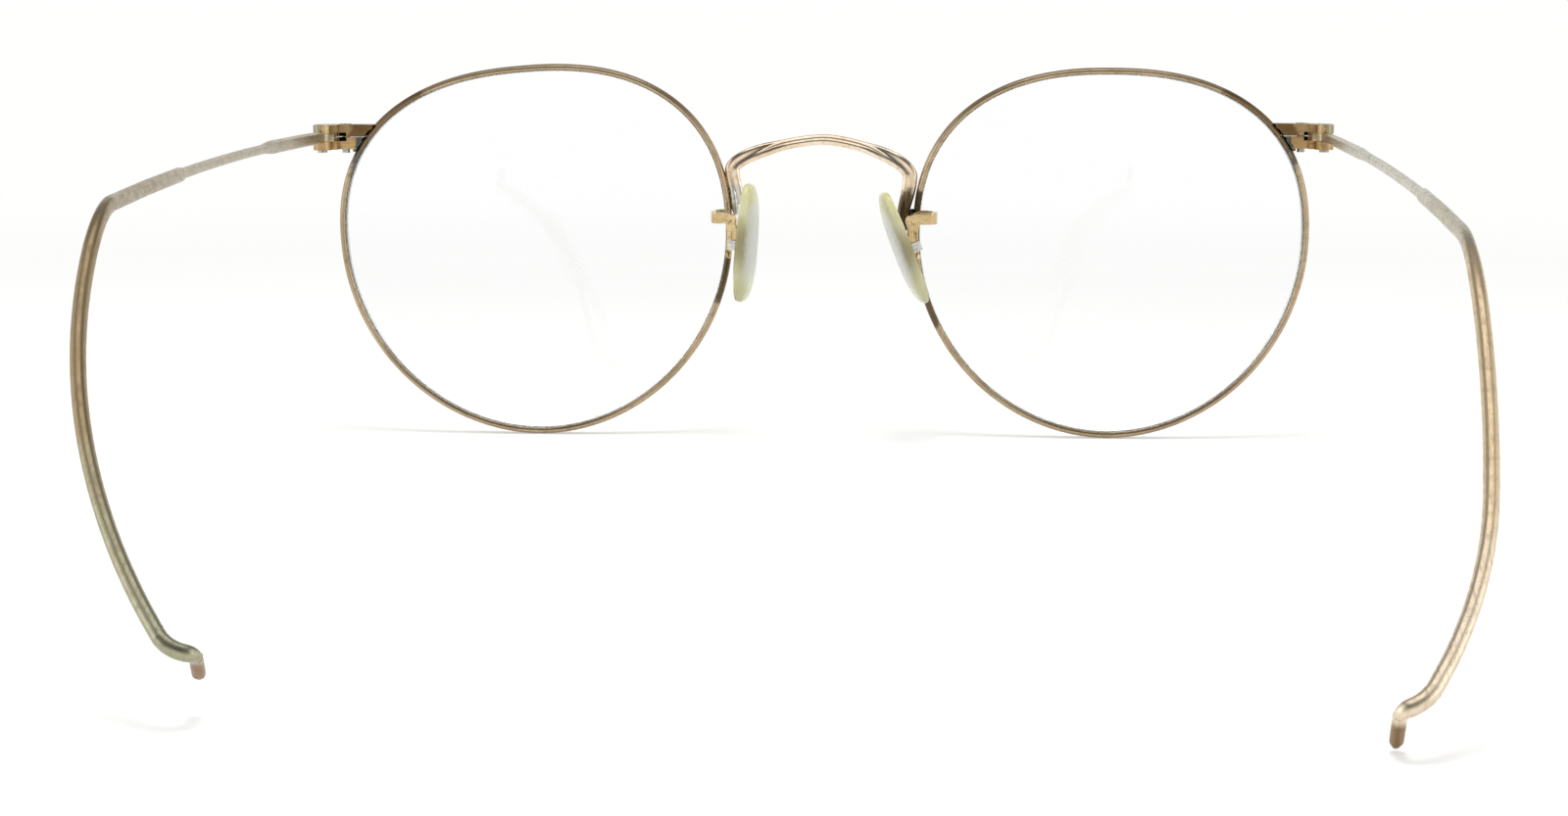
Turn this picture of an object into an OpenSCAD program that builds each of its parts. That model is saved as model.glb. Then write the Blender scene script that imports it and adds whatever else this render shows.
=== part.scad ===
/* [Lenses and rims] */
// Width of each lens
lens_w = 45.6; // [41:0.2:50]
// Height of each lens
lens_h = 42.8; // [38:0.2:46]
// Depth of the widest line of a lens below its top
widest_drop = 19.1; // [16:0.1:21]
// Fullness of a lens above its widest line (2 is an ellipse, more is squarer)
upper_fullness = 2.37; // [2:0.01:2.8]
// Fullness of a lens below its widest line
lower_fullness = 1.97; // [1.9:0.01:2.4]
// Distance between the two lenses across the nose
lens_gap = 21.8; // [19:0.1:25]
// Radius of the curve that the lenses and the rims follow
lens_curve_r = 88; // [60:1:300]
// Thickness of a lens
lens_t = 1.8; // [1.2:0.1:2.6]
// Thickness of the rim wire, seen from the front
rim_t = 0.7; // [0.55:0.05:1]
// Depth of the rim wire, front to back
rim_depth = 1.56; // [1.3:0.02:2]
// Depth of the lens groove in the rim wire
groove_depth = 0.38; // [0.2:0.02:0.42]
// Width of the lens groove at its mouth
groove_w = 0.8; // [0.5:0.05:1]
// How far the outer side of the left rim is bent down, in degrees
left_rim_turn = 5; // [-6:0.1:8]
// How far the outer side of the right rim is bent down, in degrees
right_rim_turn = 0.4; // [-6:0.1:8]

/* [Bridge] */
// Height of the crest of the bridge above the table
crest_z = 34.9; // [33:0.1:38]
// How far the crest of the bridge stands in front of the rims
crest_forward = 1.6; // [0:0.1:3]
// Width of the bridge band
bridge_w = 1.7; // [1.2:0.1:2.4]
// Thickness of the bridge band
bridge_t = 0.9; // [0.7:0.05:1.4]
// Depth of the groove along each face of the bridge band
flute_depth = 0.12; // [0:0.02:0.2]
// Width of the band where it is soldered to a rim, as a share of its full width
bridge_foot_share = 0.8; // [0.5:0.02:1]
// How far the band is rolled forward at the crest, in degrees
crest_roll = 64; // [0:1:70]
// Height at which the left side of the bridge runs straight down
left_bridge_side_z = 31.4; // [28:0.1:32]
// Height at which the right side of the bridge runs straight down
right_bridge_side_z = 30.7; // [28:0.1:32]
// Height of the left foot of the bridge
left_bridge_foot_z = 27.4; // [24:0.1:28]
// Height of the right foot of the bridge
right_bridge_foot_z = 24.4; // [24:0.1:28]
// Gap between the left side of the bridge and its rim
left_bridge_gap = 0.1; // [0.05:0.05:0.5]
// Gap between the right side of the bridge and its rim
right_bridge_gap = 0.3; // [0.05:0.05:0.5]
// How far the left side of the bridge bends in towards the nose above its foot
left_bridge_bend = 0.35; // [0:0.05:1.5]
// How far the right side of the bridge bends in towards the nose above its foot
right_bridge_bend = 1.15; // [0:0.05:1.5]

/* [Hinges] */
// How far the left hinge pin stands outside the widest line of its lens
left_hinge_out = 1.86; // [1:0.02:4]
// How far the right hinge pin stands outside the widest line of its lens
right_hinge_out = 1.42; // [1:0.02:4]
// Height of the left hinge above the middle of the left lens
left_hinge_up = 11; // [8:0.1:13]
// Height of the right hinge above the middle of the right lens
right_hinge_up = 11.7; // [8:0.1:13]
// How far a hinge pin lies behind the middle of the rims
hinge_back = 2.6; // [2.2:0.1:4]
// Height of an endpiece
endpiece_h = 2.9; // [2.4:0.1:3.6]
// Depth of an endpiece, front to back
endpiece_depth = 1.8; // [1.5:0.1:2.4]
// Radius of the outer front corner of an endpiece
endpiece_corner_r = 2.2; // [0.5:0.1:2.4]
// Gap between the two halves of an endpiece
endpiece_split = 0.1; // [0.05:0.05:0.3]
// Radius of a hinge lug
lug_r = 1.05; // [0.95:0.05:1.4]
// How far the root of a lug reaches inward from the pin
lug_root = 1.6; // [1.4:0.05:1.8]
// Thickness of the tongue of a temple between the lugs
tongue_t = 0.9; // [0.6:0.05:1.2]
// Diameter of a hinge screw
hinge_screw_d = 1.1; // [0.8:0.05:1.2]
// Diameter of the head of a hinge screw
hinge_head_d = 1.6; // [1.4:0.05:1.9]
// Diameter of a closing screw
closing_screw_d = 0.9; // [0.7:0.05:1.1]
// Diameter of the head of a closing screw
closing_head_d = 1.3; // [1.2:0.05:1.5]
// Distance from the hinge screw to the closing screw, sideways
closing_in = 2.3; // [2.3:0.05:3]
// Width of the dark gap beside the left hinge
left_relief_w = 0.85; // [0.3:0.05:1]
// Width of the dark gap beside the right hinge
right_relief_w = 0.45; // [0.3:0.05:1]
// Height of a screw head
screw_head_t = 0.45; // [0.3:0.05:0.6]
// How far a screw head stands out above the endpiece
head_proud = 0.05; // [0:0.05:0.2]
// How far the end of a hinge screw stands out below the endpiece
hinge_screw_end = 0.3; // [0.1:0.05:0.6]
// How far the end of a closing screw stands out below the endpiece
closing_screw_end = 0.45; // [0.1:0.05:0.6]

/* [Temples] */
// Length of a temple from its pin to the corner of its bend
bar_length = 108.2; // [98:0.1:115]
// Distance from the pin to the end of the wide front part
shoulder_at = 33; // [18:0.5:40]
// Distance from the pin to the step where the bar thickens again
step_at = 72.5; // [55:0.5:82]
// Thickness of the front part of a temple
front_bar_t = 1; // [0.8:0.05:1.1]
// Height of the slender middle part
middle_bar_h = 0.98; // [0.8:0.02:1.2]
// Thickness of the slender middle part
middle_bar_t = 0.86; // [0.7:0.02:1.1]
// Height of the bar between the step and the bend
rear_bar_h = 1.32; // [1:0.02:1.6]
// Thickness of the bar between the step and the bend
rear_bar_t = 1.06; // [0.9:0.02:1.3]
// Height of the wire of an earpiece
ear_wire_h = 1.36; // [1.1:0.02:1.6]
// Thickness of the wire of an earpiece
ear_wire_t = 1.24; // [1.1:0.02:1.5]
// Length of an earpiece from its bend to its curled end
ear_length = 37.2; // [28:0.2:42]
// Length of the curled end
curl_length = 2.5; // [2:0.1:6]
// Length of the stub that is turned down at the tip
stub_length = 3.4; // [1.5:0.1:4]
// Thickness of the stub, as a share of the earpiece wire
stub_share = 0.76; // [0.6:0.02:1]
// How far a bar bows downward over its length, in degrees
bar_sag = 2.5; // [0:0.1:4]
// How far a bar bows inward over its length, in degrees
bar_bow = 4.3; // [0:0.1:6]

/* [Left temple setting] */
// Height of the front part of the left temple
left_front_h = 1.4; // [1:0.05:1.8]
// Inward turn of the left temple at its hinge, in degrees
left_turn_in = -1.1; // [-3:0.1:3]
// Downward turn of the left temple at its hinge, in degrees
left_turn_down = -1.25; // [-2:0.05:2]
// Radius of the left bend
left_bend_r = 12.5; // [8:0.1:24]
// Drop of the left earpiece at its bend, in degrees
left_drop = 43.9; // [34:0.1:50]
// Inward lean of the left earpiece at its bend, in degrees
left_lean = -2.3; // [-4:0.1:12]
// Inward curl of the upper half of the left earpiece, in degrees
left_upper_curl = 17.5; // [0:0.1:20]
// Inward curl of the lower half of the left earpiece, in degrees
left_lower_curl = 16; // [0:0.1:26]
// Inward curl of the left end, in degrees
left_end_curl = 54; // [0:1:65]
// Downward turn of the left end before its stub, in degrees
left_end_drop = 22; // [-10:1:30]
// Bend of the left stub, in degrees
left_stub_bend = 78; // [60:1:120]

/* [Right temple setting] */
// Height of the front part of the right temple
right_front_h = 1.15; // [1:0.05:1.8]
// Inward turn of the right temple at its hinge, in degrees
right_turn_in = 0.43; // [-3:0.01:3]
// Downward turn of the right temple at its hinge, in degrees
right_turn_down = 0.24; // [-2:0.01:2]
// Radius of the right bend
right_bend_r = 22.5; // [8:0.1:24]
// Drop of the right earpiece at its bend, in degrees
right_drop = 37.3; // [34:0.1:40]
// Inward lean of the right earpiece at its bend, in degrees
right_lean = -0.9; // [-4:0.1:12]
// Inward curl of the upper half of the right earpiece, in degrees
right_upper_curl = 5.7; // [0:0.1:20]
// Inward curl of the lower half of the right earpiece, in degrees
right_lower_curl = 22.8; // [0:0.1:26]
// Inward curl of the right end, in degrees
right_end_curl = 36.6; // [0:0.1:65]
// Downward turn of the right end before its stub, in degrees
right_end_drop = 4; // [-10:1:30]
// Bend of the right stub, in degrees
right_stub_bend = 88; // [60:1:120]

/* [Nose pads] */
// Length of a nose pad
pad_l = 13.8; // [11:0.1:15]
// Width of a nose pad
pad_w = 7; // [5.5:0.1:8]
// Thickness of a nose pad
pad_t = 1.5; // [1.3:0.05:2]
// Squareness of the outline of a nose pad (2 is an ellipse, more is squarer)
pad_fullness = 2.6; // [2:0.1:3.2]
// How far the pin sits below the middle of its pad
pin_below = 0.4; // [0:0.05:1]
// Turn of the pads towards the face, in degrees
pad_splay = 12; // [5:1:25]
// Tilt of the left pad, top towards the nose, in degrees
left_pad_tilt = 4; // [0:0.1:24]
// Tilt of the right pad, top towards the nose, in degrees
right_pad_tilt = 21.5; // [0:0.1:24]
// Distance of the left pad pin from the middle of the bridge
left_pad_x = 10.1; // [9.5:0.05:11.5]
// Distance of the right pad pin from the middle of the bridge
right_pad_x = 10.75; // [9.5:0.05:11.5]
// Height of the left pad pin above the table
left_pad_z = 23; // [21:0.1:25]
// Height of the right pad pin above the table
right_pad_z = 22.95; // [21:0.1:25]
// How far the pad pins lie behind the middle of the rims
pad_back = 5.2; // [4.6:0.1:7]
// Distance from a pad pin to the back of its pad
pad_standoff = 0.85; // [0.8:0.05:1.2]
// Length of the metal plate inside a pad
plate_l = 7.6; // [5:0.1:9]
// Width of the metal plate inside a pad
plate_w = 3.6; // [2.6:0.1:4.2]
// Thickness of that plate
plate_t = 0.3; // [0.2:0.05:0.4]
// Diameter of a pad pin
pad_pin_d = 0.46; // [0.4:0.02:0.6]
// Thickness of the eye at the end of a pad arm
eye_t = 0.5; // [0.4:0.05:0.7]
// Thickness of each cheek of the box on a pad
cheek_t = 0.25; // [0.2:0.05:0.4]
// Height of the box on a pad
box_h = 1.1; // [1:0.05:1.5]
// How far the box reaches past the pin
box_back = 0.68; // [0.5:0.02:0.8]
// Height of the strip of a pad arm
arm_h = 1.35; // [0.9:0.05:1.6]
// Thickness of the strip of a pad arm
arm_t = 0.55; // [0.4:0.05:0.7]
// How far the loop of the left pad arm reaches over the lens, from the rim
left_arm_reach = 1.7; // [1.2:0.1:3]
// How far the loop of the right pad arm reaches over the lens, from the rim
right_arm_reach = 2.1; // [1.2:0.1:3]
// How far the leg of a pad arm leans off its pad
arm_lean = 0.4; // [0.2:0.05:0.8]
// Height at which a pad arm is soldered to the rim
arm_foot_z = 22; // [20.5:0.1:23]
// Height of the loop of a pad arm
arm_loop_z = 26.2; // [25.5:0.1:27.5]

/* [Fits] */
// Clearance between a lens and its groove
lens_fit = 0.03; // [0.01:0.01:0.08]
// Clearance of soldered and seated pieces
seat = 0.02; // [0.01:0.01:0.05]
// Clearance all round a screw in its lug
screw_fit = 0.02; // [0.01:0.01:0.05]
// Clearance all round a pin that a moving piece turns on
pin_fit = 0.03; // [0.01:0.01:0.08]
// Clearance between the cheeks of a moving fit
side_fit = 0.04; // [0.02:0.01:0.1]

/* [Hidden] */

// Every piece is drawn as one of the right side, and a left one is mirrored
RIM_STATIONS = 72;
ROUND = 48;
rolled_gold = "#b79a6c";
bright_gold = "#d8b56a";
rose_gold = "#c99f7c";
worn_silver = "#b9b5a6";
pad_amber = "#d9d68c";
lens_glass = "#e8f1f4";

// Small vector and number helpers
function blend(a, b, k) = a + (b - a) * k;
function ease(x) = x <= 0 ? 0 : x >= 1 ? 1 : x * x * (3 - 2 * x);
function unit(v) = v / norm(v);
function spin(v, axis, a) =
    v * cos(a) + cross(axis, v) * sin(a) + axis * (axis * v) * (1 - cos(a));
function bezier(a, b, c, d, k) =
    a * pow(1 - k, 3) + b * 3 * k * pow(1 - k, 2) + c * 3 * k * k * (1 - k) + d * pow(k, 3);
function through(a, b, c, d, k) =
    0.5 * (2 * b + (c - a) * k + (2 * a - 5 * b + 4 * c - d) * k * k
    + (3 * b - a - 3 * c + d) * pow(k, 3));
function power(x, p) = sign(x) * pow(abs(x), p);

// A skin over rings of points, all with the same count. Its ends are fans from each ring's first point
module skin(rings) {
    n = len(rings[0]);
    m = len(rings);
    side = [for (i = [0:m - 2]) for (j = [0:n - 1])
        let (a = i * n + j, b = i * n + (j + 1) % n)
        each [[a, b + n, b], [a, a + n, b + n]]];
    end = (m - 1) * n;
    first = [for (j = [1:n - 2]) [0, j, j + 1]];
    last = [for (j = [1:n - 2]) [end, end + j + 1, end + j]];
    polyhedron([for (ring = rings) each ring], concat(first, side, last), convexity = 8);
}

// Outline of a lens, as a distance from the middle of its widest line
lens_a = lens_w / 2;
lower_drop = lens_h - widest_drop;
function outline_r(t) =
    let (s = sin(t), n = s >= 0 ? upper_fullness : lower_fullness, b = s >= 0 ? widest_drop : lower_drop)
    pow(pow(abs(cos(t)) / lens_a, n) + pow(abs(s) / b, n), -1 / n);
function outline(t) = outline_r(t) * [cos(t), sin(t)];
function outward(t) = let (d = unit(outline(t + 0.5) - outline(t - 0.5))) [d.y, -d.x];
function turned(p, turn) = [p.x * cos(turn) + p.y * sin(turn), p.y * cos(turn) - p.x * sin(turn)];
function rim_point(t, off, turn) = turned(outline(t) + outward(t) * off, turn);

// The wire stands round the lens edge, and its outer side reaches the table
rim_in = lens_fit - groove_depth;
rim_out = rim_in + rim_t;
rim_mid = (rim_in + rim_out) / 2;
rim_x = lens_gap / 2 + lens_a;
function rim_lift(turn) = -min([for (t = [180:2:360]) rim_point(t, rim_out, turn).y]);
left_lift = rim_lift(left_rim_turn);
right_lift = rim_lift(right_rim_turn);
function sag(r) = lens_curve_r - sqrt(lens_curve_r * lens_curve_r - r * r);
function curve_y(p) = sag(lens_a) - sag(norm(p));

// The angle at which the rim passes a height, between two angles where it rises or falls
function angle_at(z, turn, low, high, off, steps) =
    steps == 0 ? (low + high) / 2 :
    let (mid = (low + high) / 2)
    rim_point(mid, off, turn).y < z ? angle_at(z, turn, mid, high, off, steps - 1)
    : angle_at(z, turn, low, mid, off, steps - 1);
HALVINGS = 24;
function nose_side_x(z, turn, lift) =
    rim_x + rim_point(angle_at(z - lift, turn, 260, 100, rim_out, HALVINGS), rim_out, turn).x;

left_hinge_x = lens_gap / 2 + lens_w + left_hinge_out;
right_hinge_x = lens_gap / 2 + lens_w + right_hinge_out;
left_hinge_z = left_lift + left_hinge_up;
right_hinge_z = right_lift + right_hinge_up;

// Sections of the rim wire: a round outside, two lips and the groove between them
function rim_section() =
    let (root = rim_in + rim_t * 0.35, half = rim_depth / 2, lip = half * 0.82)
    concat([[lens_fit, 0], [rim_in, -groove_w / 2], [rim_in, -lip]],
    [for (a = [-90:30:90]) [root + (rim_out - root) * cos(a), half * sin(a)]],
    [[rim_in, lip], [rim_in, groove_w / 2]]);
function rim_ring(t, turn) = [for (s = rim_section())
    let (p = rim_point(t, s.x, turn)) [p.x, s.y + curve_y(turned(outline(t), turn)), p.y]];

module eyewire(turn, lift, hinge_up) {
    start = angle_at(hinge_up, turn, 0, 80, rim_mid, HALVINGS);
    half_gap = endpiece_split / lens_a * 90 / PI;
    steps = [for (k = [0:RIM_STATIONS])
        start + (k == 0 ? half_gap : k == RIM_STATIONS ? 360 - half_gap : k * 360 / RIM_STATIONS)];
    color(rolled_gold) translate([rim_x, 0, lift]) skin([for (t = steps) rim_ring(t, turn)]);
}

// A lens: two curved faces, a flat edge and the bevel that sits in the groove
BEVEL_RELIEF = 0.08;
function lens_ring(turn, start, off, share, dy) = [for (k = [0:RIM_STATIONS - 1])
    let (p = rim_point(start + k * 360 / RIM_STATIONS, off, turn) * share) [p.x, curve_y(p) + dy, p.y]];
module lens(turn, lift, hinge_up) {
    start = angle_at(hinge_up, turn, 0, 80, rim_mid, HALVINGS);
    flat = rim_in - BEVEL_RELIEF;
    half = lens_t / 2;
    bevel = groove_w / 2 - seat;
    shares = [0.02, 0.35, 0.7];
    rings = concat([for (k = shares) lens_ring(turn, start, flat, k, half)],
        [lens_ring(turn, start, flat, 1, half), lens_ring(turn, start, flat, 1, bevel),
        lens_ring(turn, start, 0, 1, 0),
        lens_ring(turn, start, flat, 1, -bevel), lens_ring(turn, start, flat, 1, -half)],
        [for (k = [len(shares) - 1:-1:0]) lens_ring(turn, start, flat, shares[k], -half)]);
    color(lens_glass, 0.4) translate([rim_x, 0, lift]) skin(rings);
}

// The bridge: an arch in two curves a side, with a fluted band swept along it
CREST_HANDLE = 0.3;
SIDE_HANDLE = 0.5;
function bridge_side(side_z, foot_z, gap, bend, turn, lift) =
    let (side_x = nose_side_x(side_z, turn, lift) - bridge_w / 2 - gap,
        foot_x = nose_side_x(foot_z, turn, lift) - bridge_w * bridge_foot_share / 2 - seat,
        crest = [0, crest_forward, crest_z], turn_down = [side_x, 0, side_z], foot = [foot_x, 0, foot_z],
        drop = side_z - foot_z)
    concat(
    [for (k = [0:1 / 14:0.999]) bezier(crest, crest + [side_x * CREST_HANDLE, 0, 0],
        turn_down + [0, 0, (crest_z - side_z) * SIDE_HANDLE], turn_down, k)],
    [for (k = [0:0.2:1]) bezier(turn_down, turn_down - [0, 0, drop * 0.4],
        foot + [-bend, 0, drop * 0.3], foot, k)]);
function mirrored(list) = [for (k = [len(list) - 1:-1:1]) [-list[k].x, list[k].y, list[k].z]];
bridge_path = concat(
    mirrored(bridge_side(left_bridge_side_z, left_bridge_foot_z, left_bridge_gap, left_bridge_bend,
        left_rim_turn, left_lift)),
    bridge_side(right_bridge_side_z, right_bridge_foot_z, right_bridge_gap, right_bridge_bend,
        right_rim_turn, right_lift));
function bridge_section(w, t) = [for (a = [0:22.5:359])
    let (u = power(cos(a), 0.85), dip = flute_depth * exp(-pow(u / 0.22, 2)))
    [u * w / 2, power(sin(a), 0.62) * (t / 2 - dip)]];
ROLL_FROM = 0.4;
function path_dir(path, k) = unit(path[min(k + 1, len(path) - 1)] - path[max(k - 1, 0)]);
module bridge() {
    half_span = max([for (p = bridge_path) p.x]);
    rings = [for (k = [0:len(bridge_path) - 1])
        let (p = bridge_path[k], d = path_dir(bridge_path, k),
            back = unit([0, 1, 0] - d * d.y), out = cross(back, d),
            near_foot = ease((crest_z - p.z) / (crest_z - right_bridge_foot_z) * 1.6 - 0.6),
            roll = crest_roll * (1 - ease((abs(p.x) / half_span - ROLL_FROM) / (1 - ROLL_FROM))),
            w = bridge_w * blend(1, bridge_foot_share, near_foot))
        [for (s = bridge_section(w, bridge_t))
            p + spin(out, d, -roll) * s.x + spin(back, d, -roll) * s.y]];
    color(rose_gold) skin(rings);
}

// Endpieces, seen from above with the hinge pin at the origin and the front at +Y
front_y = hinge_back + endpiece_depth / 2;
back_y = hinge_back - endpiece_depth / 2;
half_h = endpiece_h / 2;
slot_h = tongue_t + 2 * side_fit;
BUTT_ROOM = 0.15;
butt_r = lug_root - 0.05;
butt_half_w = lug_r * 0.6;
pocket_r = butt_r + BUTT_ROOM;
closing_y = (front_y + back_y) / 2 + 0.12;
RIM_BITE = 4;
relief_land = 0.05;
relief_depth = 0.45;
module endpiece_plan(out) {
    circle(r = lug_r, $fn = ROUND);
    corner = [for (a = [0:15:90])
        [lug_r - endpiece_corner_r + endpiece_corner_r * cos(a),
        front_y - endpiece_corner_r + endpiece_corner_r * sin(a)]];
    bar_end = -out - RIM_BITE - endpiece_h;
    lug_side = -lug_r * cos(30);
    polygon(concat([[lug_r, 0]], corner, [[bar_end, front_y], [bar_end, back_y],
        [-lug_root, back_y], [-lug_root, butt_half_w], [lug_side, butt_half_w], [lug_side, 0]]));
}
module rim_clearance(turn, hinge_up, out) {
    translate([-lens_a - out, hinge_back + 10, -hinge_up]) rotate([90, 0, 0])
        linear_extrude(20)
        polygon([for (k = [0:5:359]) rim_point(k, rim_out + seat, turn)]);
}
module endpiece_half(turn, hinge_up, out, relief_w, up) {
    z0 = up > 0 ? endpiece_split / 2 : -half_h;
    color(rolled_gold) difference() {
        translate([0, 0, z0]) linear_extrude(half_h - endpiece_split / 2) endpiece_plan(out);
        rim_clearance(turn, hinge_up, out);
        // pocket for the tongue of the temple
        translate([0, 0, -slot_h / 2]) cylinder(r = pocket_r, h = slot_h, $fn = ROUND);
        translate([-pocket_r, -pocket_r * 2, -slot_h / 2]) cube([pocket_r * 2, pocket_r * 2, slot_h]);
        // relief slot between the hinge and the closing screw
        translate([-lug_root - relief_land - relief_w, back_y - 1, -slot_h / 2])
            cube([relief_w, 1 + relief_depth, slot_h]);
        bore(0, 0, hinge_screw_d + 2 * screw_fit);
        bore(-closing_in, closing_y, closing_screw_d + 2 * screw_fit);
        if (up > 0) {
            head_seat(0, 0, hinge_head_d);
            head_seat(-closing_in, closing_y, closing_head_d);
        }
    }
}
module bore(x, y, d) {
    translate([x, y, -endpiece_h]) cylinder(d = d, h = 2 * endpiece_h, $fn = ROUND);
}
head_sunk = screw_head_t - head_proud;
module head_seat(x, y, d) {
    translate([x, y, half_h - head_sunk]) cylinder(d = d + 2 * screw_fit, h = endpiece_h, $fn = ROUND);
}
DRIVER_SLOT_W = 0.26;
module screw(d, head_d, end) {
    difference() {
        union() {
            translate([0, 0, -half_h - end])
                cylinder(d = d, h = end + endpiece_h - head_sunk + 2 * seat, $fn = ROUND);
            translate([0, 0, half_h - head_sunk + seat])
                cylinder(d = head_d, h = screw_head_t - seat, $fn = ROUND);
        }
        // slot for a screwdriver
        translate([-head_d, -DRIVER_SLOT_W / 2, half_h - head_sunk + screw_head_t / 2])
            cube([2 * head_d, DRIVER_SLOT_W, screw_head_t]);
    }
}

// A temple is walked from its pin: each step moves on, then turns down and inward
function turn_frame(s, down, inward) =
    let (w = cross(s[1], -s[3]) * down + cross(s[1], s[2]) * inward, a = norm(w))
    a < 1e-9 ? s : let (k = w / a) [s[0], spin(s[1], k, a), spin(s[2], k, a), spin(s[3], k, a), s[4]];
function advance(s, step) =
    let (h = turn_frame(s, step[1] / 2, step[2] / 2), e = turn_frame(s, step[1], step[2]))
    [s[0] + h[1] * step[0], e[1], e[2], e[3], s[4] + step[0]];
function run(length, down, inward, n) = [for (k = [1:n]) [length / n, down / n, inward / n]];
function walk(start, steps) =
    [for (k = 0, s = start; k <= len(steps); s = k < len(steps) ? advance(s, steps[k]) : s, k = k + 1) s];
TONGUE_END = 1.3;
TONGUE_INSET = 0.1;
SHOULDER_TAPER = 4.5;
STEP_TAPER = 1.4;
WIRE_TAPER = 8;
STUB_CORNER = 1.2;
function temple_steps(bend_r, drop, lean, upper_curl, lower_curl, end_curl, end_drop, stub_bend) =
    let (straight = bar_length - bend_r * tan(drop / 2), arc = bend_r * drop * PI / 180,
        per = [bar_sag / bar_length, bar_bow / bar_length],
        stops = [TONGUE_END, 5, 12, shoulder_at - SHOULDER_TAPER, shoulder_at - SHOULDER_TAPER / 2,
            shoulder_at, shoulder_at + 9, (shoulder_at + step_at) / 2, step_at - 8, step_at,
            step_at + STEP_TAPER / 2, step_at + STEP_TAPER, (step_at + straight) / 2 + 1, straight])
    concat(
    [for (k = [1:len(stops) - 1]) let (l = stops[k] - stops[k - 1]) [l, per.x * l, per.y * l]],
    run(arc, drop, lean, 9), run(ear_length / 2, 0, upper_curl, 8), run(ear_length / 2, 0, lower_curl, 8),
    run(curl_length, end_drop, end_curl, 6), run(STUB_CORNER, stub_bend, 0, 5),
    [for (share = [0.72, 0.16, 0.12]) [stub_length * share, 0, 0]]);
function temple_start(turn_in, turn_down) =
    let (straight_back = [[0, 0, 0], [0, -1, 0], [-1, 0, 0], [0, 0, 1], 0],
        s = turn_frame(turn_frame(straight_back, 0, turn_in), turn_down, 0))
    [s[0] + s[1] * TONGUE_END, s[1], s[2], s[3], TONGUE_END];
left_line = walk(temple_start(left_turn_in, left_turn_down),
    temple_steps(left_bend_r, left_drop, left_lean, left_upper_curl, left_lower_curl,
    left_end_curl, left_end_drop, left_stub_bend));
right_line = walk(temple_start(right_turn_in, right_turn_down),
    temple_steps(right_bend_r, right_drop, right_lean, right_upper_curl, right_lower_curl,
    right_end_curl, right_end_drop, right_stub_bend));

// Height, thickness and squareness of the bar at a distance along it
function bar_size(s, front_h) =
    let (front = [front_h, front_bar_t, 4], middle = [middle_bar_h, middle_bar_t, 2.6],
        rear = [rear_bar_h, rear_bar_t, 2.8], wire = [ear_wire_h, ear_wire_t, 2.3])
    s < step_at - 1 ? blend(front, middle, ease((s - shoulder_at) / SHOULDER_TAPER + 1))
    : s < bar_length - WIRE_TAPER / 2 ? blend(middle, rear, ease((s - step_at) / STEP_TAPER))
    : blend(rear, wire, ease((s - bar_length) / WIRE_TAPER + 0.5));
function bar_ring(s, front_h, shrink) =
    let (size = bar_size(s[4], front_h))
    [for (a = [15:30:345])
        s[0] + s[2] * power(cos(a), 2 / size[2]) * size[1] / 2 * shrink
        - s[3] * power(sin(a), 2 / size[2]) * size[0] / 2 * shrink];
module temple(line, front_h, turn_in) {
    n = len(line);
    stub_start = line[n - 1][4] - stub_length;
    rings = [for (k = [0:n - 1]) bar_ring(line[k], front_h,
        (k == n - 1 ? 0.62 : k == n - 2 ? 0.9 : 1)
        * blend(1, stub_share, ease((line[k][4] - stub_start) / STUB_CORNER + 1)))];
    color(rolled_gold) {
        skin(rings);
        difference() {
            translate([0, 0, -tongue_t / 2]) union() {
                cylinder(r = lug_r - TONGUE_INSET, h = tongue_t, $fn = ROUND);
                // the butt that fills the slot beside the pin
                intersection() {
                    cylinder(r = butt_r, h = tongue_t, $fn = ROUND);
                    translate([-butt_r, -butt_half_w]) cube([butt_r, 2 * butt_half_w, tongue_t]);
                }
                rotate(-turn_in) translate([-front_bar_t * 0.44, -TONGUE_END - 0.5])
                    cube([front_bar_t * 0.88, TONGUE_END + 0.5, tongue_t]);
            }
            bore(0, 0, hinge_screw_d + 2 * pin_fit);
        }
    }
}

// A nose pad stands on its pin: +X away from the nose, +Y forward, +Z up the pad
PAD_STATIONS = 28;
module on_pin(x, z, tilt) {
    translate([x, -pad_back, z]) rotate([0, 0, pad_splay]) rotate([0, -tilt, 0]) children();
}
function pad_half_w(v) = pad_w / 2 * (1 - 0.1 * v / pad_l * 2);
function pad_ring(share, depth) = [for (k = [0:PAD_STATIONS - 1])
    let (a = k * 360 / PAD_STATIONS, p = 2 / pad_fullness, v = pad_l / 2 * power(sin(a), p) * share)
    [-pad_standoff - depth, -pad_half_w(v) * power(cos(a), p) * share, v + pin_below]];
module pad_body() {
    skin([for (r = [[0.02, 0], [0.5, 0], [0.92, 0.01], [0.98, 0.06], [1, 0.16], [0.99, 0.42],
        [0.93, 0.62], [0.76, 0.84], [0.46, 0.97], [0.02, 1]]) pad_ring(r[0], r[1] * pad_t)]);
}
plate_depth = pad_t * 0.32;
box_half_w = eye_t / 2 + side_fit + cheek_t;
box_half_l = box_h / 2;
module oval(l, w) {
    translate([0, l / 2 - w / 2]) circle(d = w, $fn = ROUND);
    translate([0, w / 2 - l / 2]) circle(d = w, $fn = ROUND);
    translate([-w / 2, w / 2 - l / 2]) square([w, l - w]);
}
module plate_shape(grow) {
    translate([-pad_standoff - plate_depth + grow, 0, pin_below]) rotate([0, -90, 0]) rotate(-90)
        linear_extrude(plate_t + 2 * grow) oval(plate_l + 2 * grow, plate_w + 2 * grow);
}
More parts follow.
